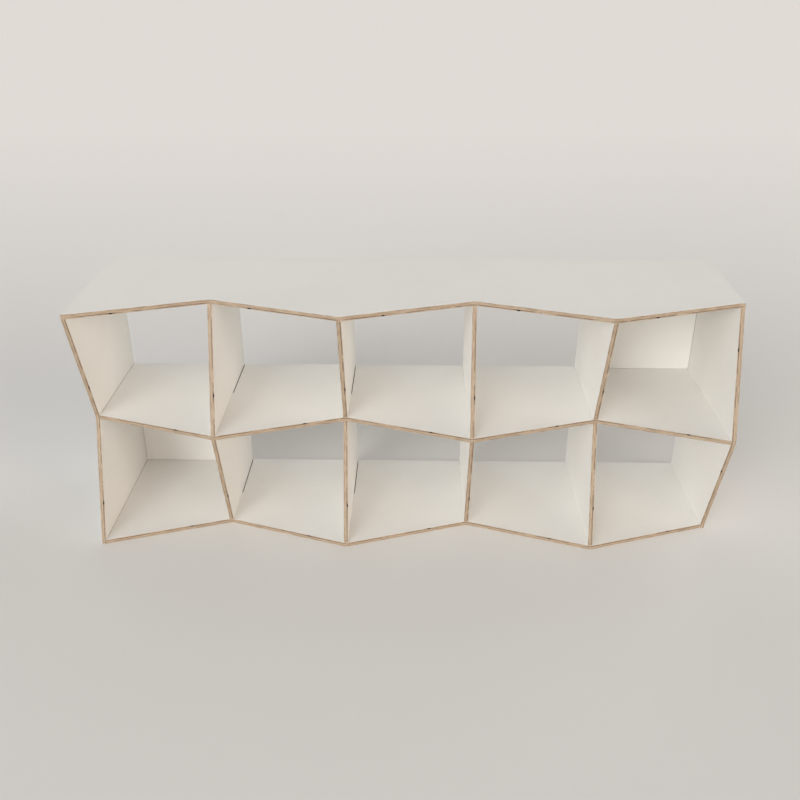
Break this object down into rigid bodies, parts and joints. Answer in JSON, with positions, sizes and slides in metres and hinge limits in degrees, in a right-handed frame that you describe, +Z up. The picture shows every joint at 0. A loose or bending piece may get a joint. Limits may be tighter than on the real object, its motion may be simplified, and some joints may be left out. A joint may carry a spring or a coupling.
{
  "type": "zigzag bookshelf",
  "caption": "Low open bookshelf of white-faced plywood whose shelves and dividers zigzag in depth along their front edges, with some bays closed at the back.",
  "frame": {"origin": "on the floor, under the middle of the shelf's bounding box", "axes": "+X along the shelf to the right as seen from the front, +Y towards the back, +Z up"},
  "size_m": [1.662, 0.432, 0.672],
  "materials": {
    "laminated_plywood": "matt white laminate faces, clear-oiled birch plywood edges",
    "bare_plywood": "raw birch plywood",
    "beech_dowel": "plain turned beech"
  },
  "bodies": {
    "root": {"top_board": "laminated_plywood", "middle_board": "laminated_plywood", "bottom_board": "laminated_plywood", "left_end_panel": "laminated_plywood", "divider_1": "laminated_plywood", "divider_2": "laminated_plywood", "divider_3": "laminated_plywood", "divider_4": "laminated_plywood", "right_end_panel": "laminated_plywood", "lower_left_back_panel": "laminated_plywood", "upper_right_back_panel": "laminated_plywood", "left_end_panel_tongue": "bare_plywood", "divider_1_tongue": "bare_plywood", "divider_2_tongue": "bare_plywood", "divider_3_tongue": "bare_plywood", "divider_4_tongue": "bare_plywood", "right_end_panel_tongue": "bare_plywood", "middle_board_left_dowels": "beech_dowel", "middle_board_right_dowels": "beech_dowel", "bottom_board_left_dowels": "beech_dowel", "bottom_board_right_dowels": "beech_dowel", "lower_left_back_panel_left_dowels": "beech_dowel", "lower_left_back_panel_right_dowels": "beech_dowel", "upper_right_back_panel_left_dowels": "beech_dowel", "upper_right_back_panel_right_dowels": "beech_dowel"}
  },
  "joints": []
}
